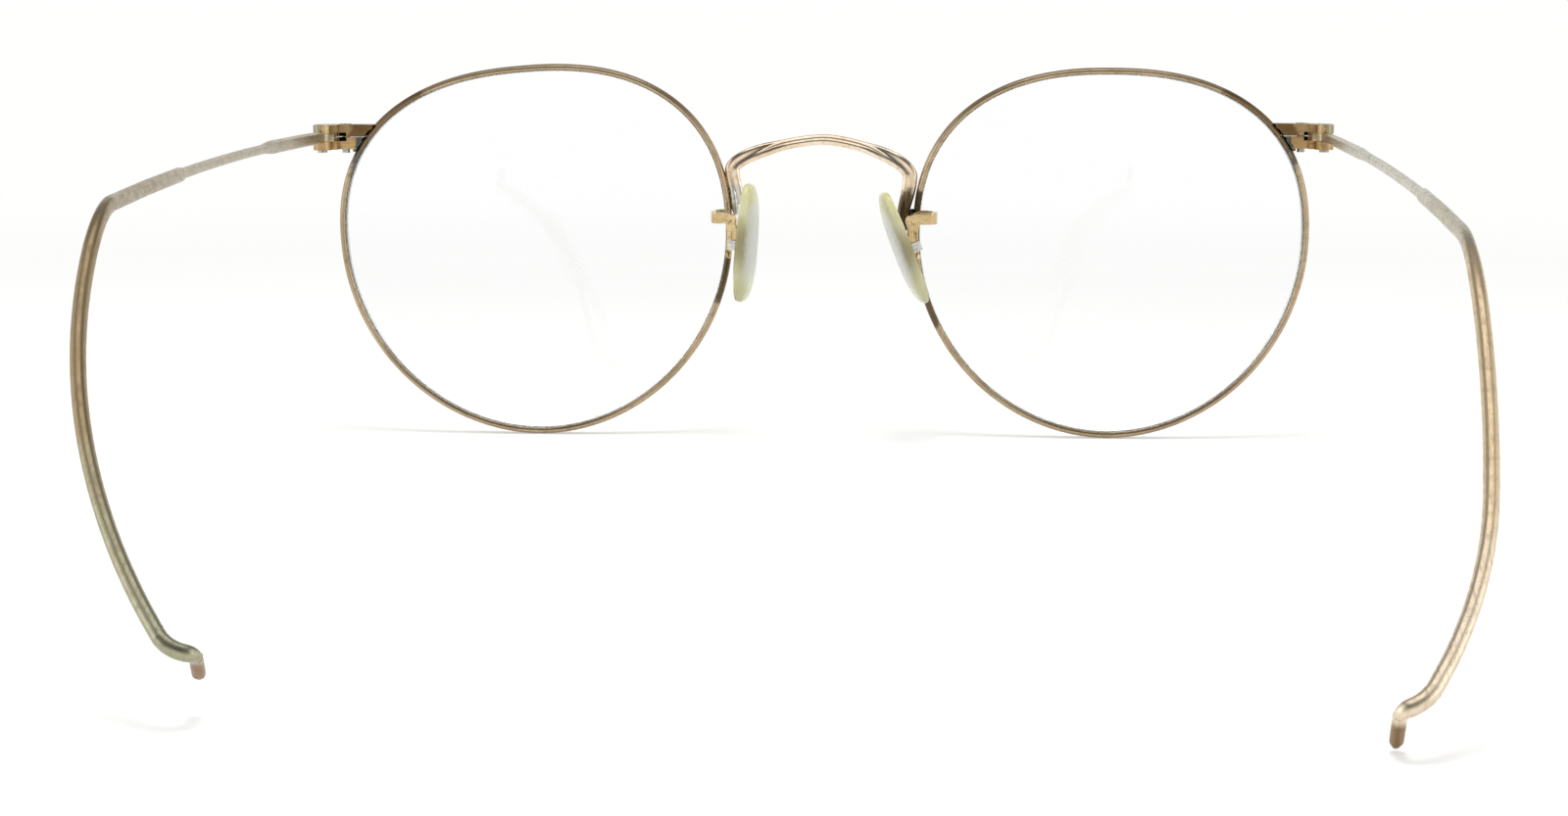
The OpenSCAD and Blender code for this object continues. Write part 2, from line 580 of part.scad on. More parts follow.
module pad(x, z, tilt) {
    color(pad_amber, 0.8) on_pin(x, z, tilt) difference() {
        pad_body();
        plate_shape(seat);
        translate([-pad_standoff - plate_depth, -box_half_w - seat, -box_half_l - seat])
            cube([pad_standoff + plate_depth, 2 * (box_half_w + seat), 2 * (box_half_l + seat)]);
    }
}
module pad_plate(x, z, tilt) {
    inner = eye_t / 2 + side_fit;
    color(worn_silver) on_pin(x, z, tilt) difference() {
        union() {
            plate_shape(0);
            translate([-pad_standoff - plate_depth - plate_t / 2, -box_half_w, -box_half_l])
                cube([pad_standoff + plate_depth + plate_t / 2 + box_back, 2 * box_half_w, 2 * box_half_l]);
        }
        translate([-pad_standoff - plate_depth + seat, -inner, -pad_l])
            cube([pad_l, 2 * inner, 2 * pad_l]);
        rotate([90, 0, 0]) translate([0, 0, -pad_w])
            cylinder(d = pad_pin_d + 2 * seat, h = 2 * pad_w, $fn = ROUND);
    }
}
module pad_pin(x, z, tilt) {
    color(worn_silver) on_pin(x, z, tilt) rotate([90, 0, 0]) translate([0, 0, -box_half_w])
        cylinder(d = pad_pin_d, h = 2 * box_half_w, $fn = ROUND);
}

// A pad arm: a strip from the back of the rim, up, out over the lens and back to the pad
function on_pad(x, z, tilt, p) =
    let (q = [p.x * cos(tilt) - p.z * sin(tilt), p.y, p.x * sin(tilt) + p.z * cos(tilt)])
    [x + q.x * cos(pad_splay) - q.y * sin(pad_splay),
    -pad_back + q.x * sin(pad_splay) + q.y * cos(pad_splay), z + q.z];
EYE_TOP = 1.35;
LOOP_DROP = 0.5;
tab_w = 1.4 * pad_pin_d;
// Each knot is a point of the strip's middle and the direction of its wide side there
function arm_knots(x, z, tilt, turn, lift, arm_reach) =
    let (edge = nose_side_x(arm_foot_z, turn, lift) + rim_t / 2,
        back = -rim_depth / 2 - seat, deep = -pad_back, mid = (back + deep) / 2,
        flat = [1, 0, 0], upright = [0, 0, -1], rise = arm_loop_z - arm_foot_z,
        leg = on_pad(x, z, tilt, [1, 0, 0]) - on_pad(x, z, tilt, [0, 0, 0]),
        leg_top = arm_loop_z - z - LOOP_DROP,
        corner = on_pad(x, z, tilt, [arm_lean, 0, leg_top + 0.4]))
    [[[edge, back + 0.8, arm_foot_z], flat], [[edge, back, arm_foot_z], flat],
    [[edge - 0.1, back - 0.75, arm_foot_z + rise * 0.16], flat],
    [[edge - 0.15, back - 0.95, arm_foot_z + rise * 0.5], flat],
    [[edge, back - 1, arm_foot_z + rise * 0.82], [0.8, 0, -0.6]],
    [[edge + 0.5, back - 1.1, arm_loop_z], upright],
    [[edge + arm_reach * 0.8, back - 1.3, arm_loop_z], upright],
    [[edge + arm_reach, mid - 0.6, arm_loop_z], upright],
    [[edge + arm_reach * 0.8, deep + 0.1, arm_loop_z], upright],
    [[edge + 0.4, deep, arm_loop_z], upright],
    [[corner.x + 0.45, corner.y, arm_loop_z], upright],
    [corner, unit(leg * 0.6 + upright * 0.4)],
    [on_pad(x, z, tilt, [arm_lean * 0.8, 0, leg_top - 0.4]), leg],
    [on_pad(x, z, tilt, [0, 0, EYE_TOP]), leg],
    [on_pad(x, z, tilt, [0, 0, EYE_TOP - 1.5]), leg]];
STRIP_CORNER = 0.34;
strip_outline = [for (side = [[1, 1], [-1, 1], [-1, -1], [1, -1]]) each
    side.x * side.y > 0 ? [[side.x / 2, side.y * STRIP_CORNER], [side.x * STRIP_CORNER, side.y / 2]]
    : [[side.x * STRIP_CORNER, side.y / 2], [side.x / 2, side.y * STRIP_CORNER]]];
NARROWING = 0.5;
FOOT_END = 0.19;
LEG_START = 0.7;
module pad_arm(x, z, tilt, turn, lift, reach) {
    knots = arm_knots(x, z, tilt, turn, lift, reach);
    last = len(knots) - 2;
    line = concat([for (i = [1:last - 1]) for (k = [0:0.25:0.99])
        [for (j = [0, 1]) through(knots[i - 1][j], knots[i][j], knots[i + 1][j], knots[i + 2][j], k)]],
        [knots[last]]);
    n = len(line);
    middle = [for (k = line) k[0]];
    rings = [for (k = [0:n - 1])
        let (d = path_dir(middle, k), w = unit(line[k][1] - d * (line[k][1] * d)), side = cross(d, w),
            share = k / (n - 1),
            narrow = 1 - ease((share - FOOT_END) * 7) + ease((share - LEG_START) * 8),
            h = arm_h * blend(1, NARROWING, narrow))
        [for (c = strip_outline) middle[k] + w * c.x * h + side * c.y * arm_t]];
    color(bright_gold) {
        skin(rings);
        on_pin(x, z, tilt) difference() {
            union() {
                rotate([90, 0, 0]) translate([0, 0, -eye_t / 2])
                    cylinder(r = pad_pin_d, h = eye_t, $fn = ROUND);
                translate([-tab_w / 2, -eye_t / 2, 0]) cube([tab_w, eye_t, EYE_TOP + 0.15]);
            }
            rotate([90, 0, 0]) translate([0, 0, -pad_w])
                cylinder(d = pad_pin_d + 2 * pin_fit, h = 2 * pad_w, $fn = ROUND);
        }
    }
}

// The whole stands with its middle over the origin
rear_reach = max([for (s = concat(left_line, right_line)) -s[0].y]) + hinge_back + ear_wire_h / 2;
front_reach = sag(lens_a) + lens_t / 2;
centre_y = (rear_reach - front_reach) / 2;
function side_reach(x, line) = x + max(lug_r, max([for (s = line) s[0].x]) + ear_wire_t / 2);
centre_x = (side_reach(left_hinge_x, left_line) - side_reach(right_hinge_x, right_line)) / 2;
module right_side() {
    translate([centre_x, centre_y, 0]) children();
}
module left_side() {
    translate([centre_x, centre_y, 0]) mirror([1, 0, 0]) children();
}
module at_left_hinge() {
    left_side() translate([left_hinge_x, -hinge_back, left_hinge_z]) children();
}
module at_right_hinge() {
    right_side() translate([right_hinge_x, -hinge_back, right_hinge_z]) children();
}

module left_eyewire() {
    left_side() eyewire(left_rim_turn, left_lift, left_hinge_up);
}
module right_eyewire() {
    right_side() eyewire(right_rim_turn, right_lift, right_hinge_up);
}
module left_lens() {
    left_side() lens(left_rim_turn, left_lift, left_hinge_up);
}
module right_lens() {
    right_side() lens(right_rim_turn, right_lift, right_hinge_up);
}
module left_endpiece_upper() {
    at_left_hinge() endpiece_half(left_rim_turn, left_hinge_up, left_hinge_out, left_relief_w, 1);
}
module right_endpiece_upper() {
    at_right_hinge() endpiece_half(right_rim_turn, right_hinge_up, right_hinge_out, right_relief_w, 1);
}
module left_endpiece_lower() {
    at_left_hinge() endpiece_half(left_rim_turn, left_hinge_up, left_hinge_out, left_relief_w, -1);
}
module right_endpiece_lower() {
    at_right_hinge() endpiece_half(right_rim_turn, right_hinge_up, right_hinge_out, right_relief_w, -1);
}
module closing_screw() {
    color(worn_silver) translate([-closing_in, closing_y, 0])
        screw(closing_screw_d, closing_head_d, closing_screw_end);
}
module left_closing_screw() {
    at_left_hinge() closing_screw();
}
module right_closing_screw() {
    at_right_hinge() closing_screw();
}
module hinge_screw() {
    color(worn_silver) screw(hinge_screw_d, hinge_head_d, hinge_screw_end);
}
module left_hinge_screw() {
    at_left_hinge() hinge_screw();
}
module right_hinge_screw() {
    at_right_hinge() hinge_screw();
}
module left_temple() {
    at_left_hinge() temple(left_line, left_front_h, left_turn_in);
}
module right_temple() {
    at_right_hinge() temple(right_line, right_front_h, right_turn_in);
}
module left_pad_arm() {
    left_side()
        pad_arm(left_pad_x, left_pad_z, left_pad_tilt, left_rim_turn, left_lift, left_arm_reach);
}
module right_pad_arm() {
    right_side()
        pad_arm(right_pad_x, right_pad_z, right_pad_tilt, right_rim_turn, right_lift, right_arm_reach);
}
module left_pad() {
    left_side() pad(left_pad_x, left_pad_z, left_pad_tilt);
}
module right_pad() {
    right_side() pad(right_pad_x, right_pad_z, right_pad_tilt);
}
module left_pad_plate() {
    left_side() pad_plate(left_pad_x, left_pad_z, left_pad_tilt);
}
module right_pad_plate() {
    right_side() pad_plate(right_pad_x, right_pad_z, right_pad_tilt);
}
module left_pad_pin() {
    left_side() pad_pin(left_pad_x, left_pad_z, left_pad_tilt);
}
module right_pad_pin() {
    right_side() pad_pin(right_pad_x, right_pad_z, right_pad_tilt);
}
module the_bridge() {
    right_side() bridge();
}

left_eyewire();
right_eyewire();
left_lens();
right_lens();
the_bridge();  // bridge
left_endpiece_upper();
right_endpiece_upper();
left_endpiece_lower();
right_endpiece_lower();
left_closing_screw();
right_closing_screw();
left_hinge_screw();
right_hinge_screw();
left_temple();
right_temple();
left_pad_arm();
right_pad_arm();
left_pad();
right_pad();
left_pad_plate();
right_pad_plate();
left_pad_pin();
right_pad_pin();
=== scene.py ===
import math

import bmesh
import bpy
import numpy as np
from mathutils import Matrix, Vector


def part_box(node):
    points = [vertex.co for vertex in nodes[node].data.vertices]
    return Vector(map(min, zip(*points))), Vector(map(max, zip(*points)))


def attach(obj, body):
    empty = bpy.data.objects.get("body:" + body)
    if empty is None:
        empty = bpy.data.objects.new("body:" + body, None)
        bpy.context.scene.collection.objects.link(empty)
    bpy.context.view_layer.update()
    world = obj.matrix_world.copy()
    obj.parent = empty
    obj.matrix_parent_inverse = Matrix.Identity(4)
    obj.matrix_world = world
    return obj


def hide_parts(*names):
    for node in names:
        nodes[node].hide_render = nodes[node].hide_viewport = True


MM = 0.001
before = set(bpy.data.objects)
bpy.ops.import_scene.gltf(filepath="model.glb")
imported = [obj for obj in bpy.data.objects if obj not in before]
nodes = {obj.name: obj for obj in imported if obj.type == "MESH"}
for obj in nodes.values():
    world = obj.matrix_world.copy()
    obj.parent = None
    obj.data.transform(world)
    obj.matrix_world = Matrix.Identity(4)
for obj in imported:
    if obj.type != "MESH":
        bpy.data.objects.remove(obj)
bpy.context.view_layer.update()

# Every piece that is dressed: a CAD node, or the smooth form that replaces it, and the beads of solder
things = dict(nodes)
solder = {}

# The bodies of the forms that move
BODY_OF = {"left_temple": "left_temple", "right_temple": "right_temple", "left_pad": "left_nose_pad",
           "right_pad": "right_nose_pad"}

# From the hinge pins forward to the rims' middle plane, and from the left pin across to the bridge's middle, in mm
PIN_TO_RIMS = 2.6
PIN_TO_MIDDLE = 58.36

# The camera, in mm and degrees: its lens was chosen, and its place and turns were fitted to the photograph with it.
# It stands to the right of the bridge's middle, back from the rims' middle plane and up from the floor
CAMERA_LENS = 67.5
SENSOR_WIDTH = 36.0
CAMERA_YAW, CAMERA_PITCH, CAMERA_ROLL = 1.55, -8.32, -0.24
CAMERA_RIGHT, CAMERA_BACK, CAMERA_UP = 4.868, 344.688, 53.644
CLIP_START, CLIP_END = 0.01, 50.0  # metres

# Smooth forms: levels of subdivision, the distance in metres at which corners are one, how flat and how square a
# pair of triangles is to become one face, the rounds in which the cage grows, and the angle of a sharp edge
SUBDIVISIONS = 2
WELD = 2e-7
FLAT_PAIR, SQUARE_PAIR = math.radians(40), math.radians(70)
CAGE_ROUNDS = 7
SHARP_EDGE = math.radians(38)
# Lenses: how much of its normal a polygon of a face has along Y, and the angle of a sharp edge
FACE_ON = 0.75
SHARP_LENS_EDGE = math.radians(20)

# Solder beads: corners around, and the share of their width at the end, one ring further in, and from there on
BEAD_CORNERS = 12
BEAD_TAPER = (0.45, 0.86, 1.0)
# Half the height of the slice in which the rim's edge is looked for, in mm
RIM_SLICE = 0.3
# About the rims' radius, in metres, which turns an angle into a length along the wire
RIM_RADIUS = 0.023


def middle(node):
    low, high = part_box(node)
    return (Vector(low) + Vector(high)) / 2


def add_object(name, data):
    thing = bpy.data.objects.new(name, data)
    bpy.context.scene.collection.objects.link(thing)
    return thing


left_pin, right_pin = middle("left_hinge_screw"), middle("right_hinge_screw")
rims_y = left_pin.y + PIN_TO_RIMS * MM
centre_x = left_pin.x + PIN_TO_MIDDLE * MM


# ---------------------------------------------------------------- camera
def add_camera():
    data = bpy.data.cameras.new("camera")
    data.sensor_fit = "HORIZONTAL"
    data.sensor_width = SENSOR_WIDTH
    data.lens = CAMERA_LENS
    data.clip_start = CLIP_START
    data.clip_end = CLIP_END
    camera = add_object("camera", data)
    turn = (Matrix.Rotation(math.radians(CAMERA_YAW), 3, "Z") @ Matrix.Rotation(math.radians(CAMERA_PITCH), 3, "X")
            @ Matrix.Rotation(math.radians(CAMERA_ROLL), 3, "Y"))
    right, ahead, up = turn.col[0], turn.col[1], turn.col[2]
    axes = Matrix((right, up, -ahead)).transposed()
    place = Vector((centre_x + CAMERA_RIGHT * MM, rims_y - CAMERA_BACK * MM, CAMERA_UP * MM))
    camera.matrix_world = Matrix.Translation(place) @ axes.to_4x4()
    bpy.context.scene.camera = camera


# ---------------------------------------------------------------- smooth forms in place of faceted ones
def coordinates(vertices):
    flat = np.empty(3 * len(vertices))
    vertices.foreach_get("co", flat)
    return flat.reshape(-1, 3)


def longest_match(name, table):
    """The entry of table whose key is the longest one within name."""
    return table[max((key for key in table if key in name), key=len)]


def cut_long_faces(form, step):
    """Cuts across Y, so that no face is left much longer than step mm along it."""
    rows = sorted({round(v.co.y, 6) for v in form.verts})
    for low, high in zip(rows, rows[1:]):
        parts = math.ceil((high - low) / (step * MM))
        for k in range(1, parts):
            bmesh.ops.bisect_plane(form, geom=form.verts[:] + form.edges[:] + form.faces[:],
                                   plane_co=(0, low + (high - low) * k / parts, 0), plane_no=(0, 1, 0))


def add_smooth(name, form):
    """An object with a smooth surface over a bmesh, which is freed."""
    mesh = bpy.data.meshes.new(name)
    form.to_mesh(mesh)
    form.free()
    thing = add_object(name, mesh)
    finer = thing.modifiers.new("finer", "SUBSURF")
    finer.levels = finer.render_levels = SUBDIVISIONS
    return thing


def refine(name, crease, keep=None, pole=None, step=None):
    """A smooth surface through all corners of a faceted node, which it replaces.
    Edges sharper than crease degrees stay, and so do those near keep, a point and a reach in mm.
    Edges shorter than pole, in mm, are drawn together, and faces longer than step, in mm along Y, are cut."""
    form = bmesh.new()
    form.from_mesh(nodes[name].data)
    bmesh.ops.remove_doubles(form, verts=form.verts, dist=WELD)
    if pole:
        # The tiny ring of corners at the middle of a lens or pad becomes one point
        bmesh.ops.collapse(form, edges=[e for e in form.edges if e.calc_length() < pole * MM])
    bmesh.ops.join_triangles(form, faces=form.faces, angle_face_threshold=FLAT_PAIR,
                             angle_shape_threshold=SQUARE_PAIR)
    if step:
        cut_long_faces(form, step)
    creases = form.edges.layers.float.new("crease_edge")
    for edge in form.edges:
        held = keep and all((v.co - keep[0]).length < keep[1] * MM for v in edge.verts)
        if held or edge.calc_face_angle(0) > math.radians(crease):
            edge[creases] = 1.0
    thing = add_smooth(name + "_form", form)
    mesh = thing.data
    corners = coordinates(mesh.vertices)
    cage = corners.copy()
    # Subdivision draws the surface in from its cage, so the cage grows until the surface meets the corners
    for _ in range(CAGE_ROUNDS):
        shown = thing.evaluated_get(bpy.context.evaluated_depsgraph_get()).to_mesh()
        cage += corners - coordinates(shown.vertices)[:len(corners)]
        mesh.vertices.foreach_set("co", cage.ravel())
        mesh.update()
        bpy.context.view_layer.update()
    fine = bpy.data.meshes.new_from_object(thing.evaluated_get(bpy.context.evaluated_depsgraph_get()))
    # The form stays inside the node's box
    low, high = (np.array(corner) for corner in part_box(name))
    fine.vertices.foreach_set("co", np.clip(coordinates(fine.vertices), low, high).ravel())
    fine.polygons.foreach_set("use_smooth", [True] * len(fine.polygons))
    fine.set_sharp_from_angle(angle=SHARP_EDGE)
    thing.modifiers.clear()
    thing.data = fine
    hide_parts(name)
    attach(thing, BODY_OF.get(name, "front"))
    return thing


def on_sphere(points, corners):
    """Moves points along Y onto the sphere that the corners lie on."""
    mean = corners.mean(0)
    near, at = (corners - mean) / MM, (points - mean) / MM
    spread = np.column_stack((2 * near, np.ones(len(near))))
    fit = np.linalg.lstsq(spread, (near ** 2).sum(1), rcond=None)[0]
    centre = fit[:3]
    reach = fit[3] + centre @ centre
    rise = np.sqrt(reach - (at[:, 0] - centre[0]) ** 2 - (at[:, 2] - centre[2]) ** 2)
    at[:, 1] = centre[1] - np.sign(centre[1]) * rise
    return at * MM + mean


def face_corners(mesh, way):
    """The corners of the polygons that face along Y (way 1) or against it (way -1)."""
    return sorted({v for polygon in mesh.polygons if polygon.normal.y * way > FACE_ON for v in polygon.vertices})


def refine_lens(name):
    """A lens with two truly spherical faces. Its ground edge is material 1."""
    thing = refine(name, crease=35, pole=0.06)
    mesh, source = thing.data, nodes[name].data
    points, corners = coordinates(mesh.vertices), coordinates(source.vertices)
    for way in (1, -1):
        face = face_corners(mesh, way)
        points[face] = on_sphere(points[face], corners[face_corners(source, way)])
    for polygon in mesh.polygons:
        polygon.material_index = int(abs(polygon.normal.y) < FACE_ON)
    mesh.vertices.foreach_set("co", points.ravel())
    mesh.update()
    # The faces' shading is kept apart from the bevel's, which would bend the view at the rim.
    # Marking sharp edges resets use_smooth, so that comes after it
    mesh.set_sharp_from_angle(angle=SHARP_LENS_EDGE)
    for polygon in mesh.polygons:
        polygon.use_smooth = polygon.material_index == 0
    return thing


def add_bead(name, path, half_w, half_d):
    """A bead of solder: a rounded rope through the points of path, in metres, with half widths in mm."""
    form = bmesh.new()
    rows = []
    turns = [2 * math.pi * j / BEAD_CORNERS for j in range(BEAD_CORNERS)]
    for k, centre in enumerate(path):
        end = min(k, len(path) - 1 - k)
        share = BEAD_TAPER[min(end, len(BEAD_TAPER) - 1)]
        rows.append([form.verts.new(centre + Vector((half_w * math.cos(t), half_d * math.sin(t), 0)) * share * MM)
                     for t in turns])
    for low, high in zip(rows, rows[1:]):
        for j in range(BEAD_CORNERS):
            after = (j + 1) % BEAD_CORNERS
            form.faces.new((low[j], low[after], high[after], high[j]))
    form.faces.new(reversed(rows[0]))
    form.faces.new(rows[-1])
    bmesh.ops.recalc_face_normals(form, faces=form.faces)
    for face in form.faces:
        face.smooth = True
    thing = add_smooth(name, form)
    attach(thing, "front")
    return thing


def along_rim(side, way, low, high, off=0.0, back=0.0, count=7):
    """Points up the rim's edge from z low to high in mm: its outer edge for way 1, its nose edge for way -1.
    They lie off mm out of the edge, and back mm from its middle towards the wearer."""
    points = coordinates(things[side + "_eyewire"].data.vertices)
    sign = (-1 if side == "left" else 1) * way
    centre = middle(side + "_eyewire")
    path = []
    for k in range(count):
        z = (low + (high - low) * k / (count - 1)) * MM
        near = points[(abs(points[:, 2] - z) < RIM_SLICE * MM) & ((points[:, 0] - centre.x) * sign > 0)]
        edge = near[np.argmax(near[:, 0] * sign)]
        path.append(Vector((edge[0] + sign * off * MM, edge[1] - back * MM, z)))
    return path


def add_solder():
    """Beads where the two halves of each endpiece, the pad arms and the bridge meet the rims, in mm.
    lower and upper are the heights where the halves of an endpiece begin."""
    for side, lower, upper in (("left", 33.59, 35.09), ("right", 34.3, 35.8)):
        solder[side + "_upper"] = add_bead(
            side + "_upper_solder",
            along_rim(side, 1, upper + 0.05, upper + 1.34, off=0.02, back=0.25), half_w=0.34, half_d=0.72)
        solder[side + "_lower"] = add_bead(
            side + "_lower_solder",
            along_rim(side, 1, lower - 0.35, lower + 1.35, off=0.06, back=0.25), half_w=0.4, half_d=0.72)
        solder[side + "_foot"] = add_bead(
            side + "_foot_solder",
            along_rim(side, -1, 20.9, 21.9, off=-0.42, back=0.45), half_w=0.4, half_d=0.4)
    solder["left_web"] = add_bead("left_bridge_solder",
                                  along_rim("left", -1, 26.0, 29.8, off=0.42), half_w=0.5, half_d=0.5)
    solder["right_web"] = add_bead("right_bridge_solder",
                                   along_rim("right", -1, 24.4, 27.0, off=0.2), half_w=0.42, half_d=0.5)


# ---------------------------------------------------------------- colours and nodes
def rgb(red, green, blue):
    """A colour as it shows on screen, from 0 to 255, in the linear values that shaders take."""
    def linear(v):
        v /= 255
        return v / 12.92 if v <= 0.04045 else ((v + 0.055) / 1.055) ** 2.4
    return (linear(red), linear(green), linear(blue), 1.0)


class Nodes:
    """Short ways to add nodes to a tree. Where a value may go, so may the output of another node."""

    def __init__(self, tree):
        self.tree = tree

    def add(self, kind, *links, **properties):
        node = self.tree.nodes.new(kind)
        for key, value in properties.items():
            setattr(node, key, value)
        for index, value in enumerate(links):
            if value is not None:
                self.feed(node.inputs[index], value)
        return node

    def feed(self, socket, value):
        if isinstance(value, bpy.types.NodeSocket):
            self.tree.links.new(value, socket)
        else:
            socket.default_value = value

    def math(self, operation, a, b=0.0):
        return self.add("ShaderNodeMath", a, b, operation=operation).outputs[0]

    def mix(self, share, a, b):
        """Colour a where share is 0, and colour b where it is 1."""
        node = self.add("ShaderNodeMix", data_type="RGBA")
        for index, value in ((0, share), (6, a), (7, b)):
            self.feed(node.inputs[index], value)
        return node.outputs[2]

    def ramp(self, value, low, high, out_low=0.0, out_high=1.0):
        """A smooth step from out_low, where value is low, to out_high, where it is high."""
        return self.add("ShaderNodeMapRange", value, low, high, out_low, out_high,
                        interpolation_type="SMOOTHSTEP").outputs[0]


class Finish(Nodes):
    """A material with one Principled shader."""

    def __init__(self, name, **constants):
        self.material = bpy.data.materials.new(name)
        self.material.use_nodes = True
        super().__init__(self.material.node_tree)
        self.shader = next(n for n in self.tree.nodes if n.type == "BSDF_PRINCIPLED")
        self.output = next(n for n in self.tree.nodes if n.type == "OUTPUT_MATERIAL")
        coords = self.add("ShaderNodeTexCoord").outputs
        self.place, self.normal = coords["Object"], coords["Normal"]
        self.x, self.y, self.z = self.add("ShaderNodeSeparateXYZ", self.place).outputs
        for socket, value in constants.items():
            self.shader.inputs[socket.replace("_", " ")].default_value = value

    def noise(self, per_mm, detail=3.0, rough=0.55, stretch=(1, 1, 1), shift=(0, 0, 0), place=None):
        """Noise with about per_mm grains to a millimetre, from 0 to 1."""
        scaled = self.add("ShaderNodeMapping", place or self.place, vector_type="POINT")
        scaled.inputs["Scale"].default_value = [s * per_mm / MM for s in stretch]
        scaled.inputs["Location"].default_value = shift
        node = self.add("ShaderNodeTexNoise", scaled.outputs[0])
        node.inputs["Scale"].default_value = 1.0
        node.inputs["Detail"].default_value = detail
        node.inputs["Roughness"].default_value = rough
        return node.outputs[0]

    def near(self, point, inner_mm, outer_mm):
        """1 within inner_mm of a point, 0 beyond outer_mm."""
        away = self.add("ShaderNodeVectorMath", self.place, tuple(point), operation="DISTANCE").outputs["Value"]
        return self.ramp(away, inner_mm * MM, outer_mm * MM, 1.0, 0.0)

    def around(self, centre):
        """Places measured along a ring about an axis that runs along Y, so that streaks follow the wire."""
        right = self.math("SUBTRACT", self.x, centre.x)
        up = self.math("SUBTRACT", self.z, centre.z)
        turn = self.math("ARCTAN2", up, right)
        out = self.math("SQRT", self.math("ADD", self.math("MULTIPLY", right, right), self.math("MULTIPLY", up, up)))
        return self.add("ShaderNodeCombineXYZ", self.math("MULTIPLY", turn, RIM_RADIUS), self.y, out).outputs[0]

    def bump(self, height, strength, distance_mm):
        node = self.add("ShaderNodeBump")
        node.inputs["Strength"].default_value = strength
        node.inputs["Distance"].default_value = distance_mm * MM
        self.feed(node.inputs["Height"], height)
        self.feed(self.shader.inputs["Normal"], node.outputs[0])

    def set(self, **sockets):
        """Feeds sockets of the shader, and gives the material."""
        for socket, value in sockets.items():
            self.feed(self.shader.inputs[socket.replace("_", " ")], value)
        return self.material


def worn_metal(name, tones, spots=(), rough=(0.16, 0.3), place=None, stretch=(0.12, 1, 1), zones=(), wear=0.35,
               pocket=None):
    """Worn gold-filled metal: slow drift between two tones, drawing lines along the wire, pits, and stains.
    tones are body, bright and dark. zones are (axis, from mm, to mm, tone, strength), and spots are
    (point, inner mm, outer mm, tone, strength), laid over the metal one by one with ragged edges.
    rough is the lowest and highest roughness, wear the strength of the dark patches, place the middle of a ring
    that the lines follow, and pocket the middle and half size of a recess, which is painted near-black as its shade."""
    body, bright, dark = tones
    f = Finish(name, Metallic=1.0)
    place = f.around(place) if place else f.place
    drift = f.noise(0.16, detail=2.0, rough=0.5)
    patches = f.noise(1.3, detail=4.0, rough=0.62, shift=(3, 1, 7))
    lines = f.noise(5.0, detail=3.0, rough=0.6, stretch=stretch, shift=(1, 8, 4), place=place)
    pits = f.noise(7.0, detail=2.0, rough=0.6, shift=(5, 9, 2))
    colour = f.mix(f.ramp(drift, 0.35, 0.65), body, bright)
    for axis, start, end, tone, strength in zones:
        wander = abs(end - start) * MM
        reach = f.math("ADD", getattr(f, axis), f.math("MULTIPLY", f.math("SUBTRACT", drift, 0.5), wander))
        colour = f.mix(f.ramp(reach, start * MM, end * MM, 0.0, strength), colour, tone)
    colour = f.mix(f.ramp(patches, 0.5, 0.72, 0.0, wear), colour, dark)
    colour = f.mix(f.ramp(lines, 0.42, 0.75, 0.0, 0.3), colour, dark)
    for point, inner, outer, tone, strength in spots:
        edge = f.math("ADD", f.near(point, inner, outer), f.math("MULTIPLY", f.math("SUBTRACT", patches, 0.5), 0.8))
        colour = f.mix(f.ramp(edge, 0.35, 0.8, 0.0, strength), colour, tone)
    colour = f.mix(f.ramp(pits, 0.6, 0.74, 0.0, 0.45), colour, dark)
    # Painted shade: the recess is painted near-black, standing in for the shade inside it
    if pocket:
        offset = f.add("ShaderNodeVectorMath", f.place, tuple(pocket[0]), operation="SUBTRACT").outputs[0]
        share = f.add("ShaderNodeVectorMath", f.add("ShaderNodeVectorMath", offset, operation="ABSOLUTE").outputs[0],
                      tuple(pocket[1]), operation="DIVIDE").outputs[0]
        sx, sy, sz = f.add("ShaderNodeSeparateXYZ", share).outputs
        colour = f.mix(f.ramp(f.math("MAXIMUM", sx, f.math("MAXIMUM", sy, sz)), 0.99, 1.05, 1.0, 0.0), colour, SLOT_SHADE)
    roughness = f.ramp(f.math("ADD", patches, f.math("MULTIPLY", lines, 0.5)), 0.5, 1.0, *rough)
    relief = f.math("ADD", f.math("MULTIPLY", pits, 0.5), f.math("ADD", lines, f.math("MULTIPLY", patches, 0.5)))
    f.bump(relief, strength=0.3, distance_mm=0.012)
    return f.set(Base_Color=colour, Roughness=roughness)


# ---------------------------------------------------------------- materials
def mm(point, right, back, up):
    """A point so many mm to the right of, behind (towards the camera) and above another."""
    return point + Vector((right, -back, up)) * MM


RIM_TONES = rgb(172, 151, 121), rgb(188, 167, 137), rgb(112, 92, 64)
SOLDER_GREY = rgb(84, 90, 84)
STAIN_AND_SHADE_BROWN = rgb(104, 80, 48)
BURNT_BROWN = rgb(66, 54, 34)
# Near-black, painted into the slot beside each hinge as its shade
SLOT_SHADE = rgb(14, 11, 7)


def rim_metal(side, pin, sign):
    """Rim gold, greyed by solder near the endpiece and darkened brown by the joint, partly as stain and partly as
    painted shade, with burnt places on its nose side.
    """
    joint = mm(pin, sign * -5.6, -2.6, 0)
    spots = [(mm(joint, sign * -1.0, 0, 3.0), 3.5, 7.5, STAIN_AND_SHADE_BROWN, 0.75),
             (mm(joint, 0, 0, -3.6), 1.6, 4.4, SOLDER_GREY, 0.9),
             (mm(joint, 0, 0, -7.5), 1.4, 4.0, STAIN_AND_SHADE_BROWN, 0.7)]
    # Height on the rim, inner and outer reach in mm, and strength
    burnt = (((18.6, 1.8, 5.0, 0.85),) if side == "left" else
             ((27.2, 1.6, 3.0, 0.95), (23.6, 1.8, 3.6, 0.8), (15.0, 1.2, 4.0, 0.8)))
    for z, inner, outer, strength in burnt:
        spots.append((along_rim(side, -1, z, z + 0.1, count=2)[0], inner, outer, BURNT_BROWN, strength))
    return worn_metal(side + "_rim_gold", RIM_TONES, spots, rough=(0.2, 0.34), place=middle(side + "_eyewire"))


